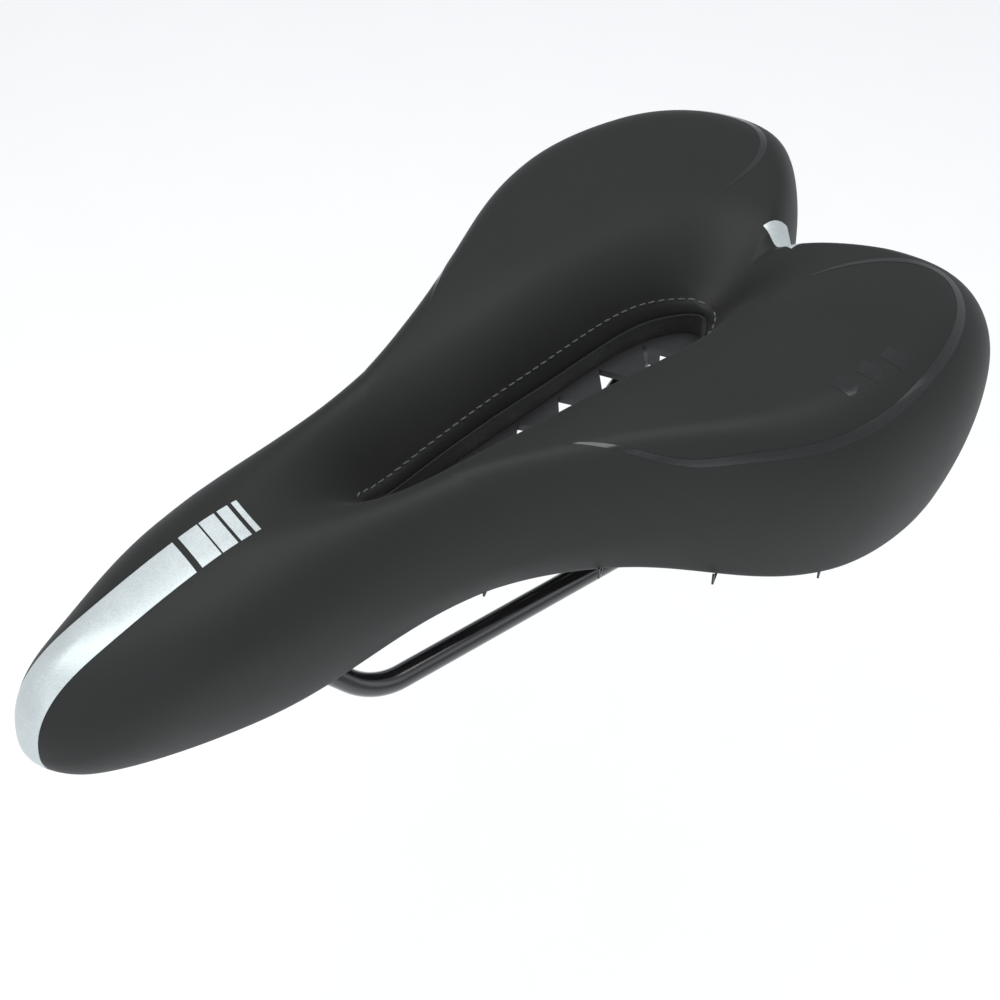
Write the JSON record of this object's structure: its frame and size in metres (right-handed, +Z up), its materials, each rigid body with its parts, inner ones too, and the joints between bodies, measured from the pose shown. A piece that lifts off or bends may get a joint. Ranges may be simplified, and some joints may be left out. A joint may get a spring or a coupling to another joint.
{
  "type": "bicycle saddle",
  "caption": "Padded black road saddle with a central relief channel, silver nose bars and a bent-rod rail for a seat post clamp.",
  "frame": {"origin": "midway between the two rails at the height of their centres, in the straight stretch that the seat post clamps", "axes": "+X to the nose, +Y to the rider's left, +Z up"},
  "size_m": [0.2908, 0.154, 0.0809],
  "materials": {
    "cover_black": "matt, very fine grain",
    "foam": "soft moulded foam",
    "shell_plastic": "moulded, lightly textured",
    "rail_gloss": "gloss black",
    "lining_black": "matt woven",
    "thread_grey": "twisted thread",
    "staple_steel": "bright wire",
    "gel": "smooth, slightly clear",
    "silver_film": "silver with a fine sparkle",
    "gloss_print": "gloss black"
  },
  "bodies": {
    "root": {"cover": "cover_black", "foam_pad": "foam", "base_shell": "shell_plastic", "rails": "rail_gloss", "cutout_lining": "lining_black", "cutout_stitching": "thread_grey", "cover_staples": "staple_steel", "gel_pad_left": "gel", "gel_pad_right": "gel", "nose_stripe": "silver_film", "nose_bar_1": "silver_film", "nose_bar_2": "silver_film", "nose_bar_3": "silver_film", "nose_bar_4": "silver_film", "tail_tab": "silver_film", "wing_mark_1": "gloss_print", "wing_mark_2": "gloss_print", "wing_mark_3": "gloss_print", "wing_line_left": "gloss_print", "wing_line_right": "gloss_print"}
  },
  "joints": []
}
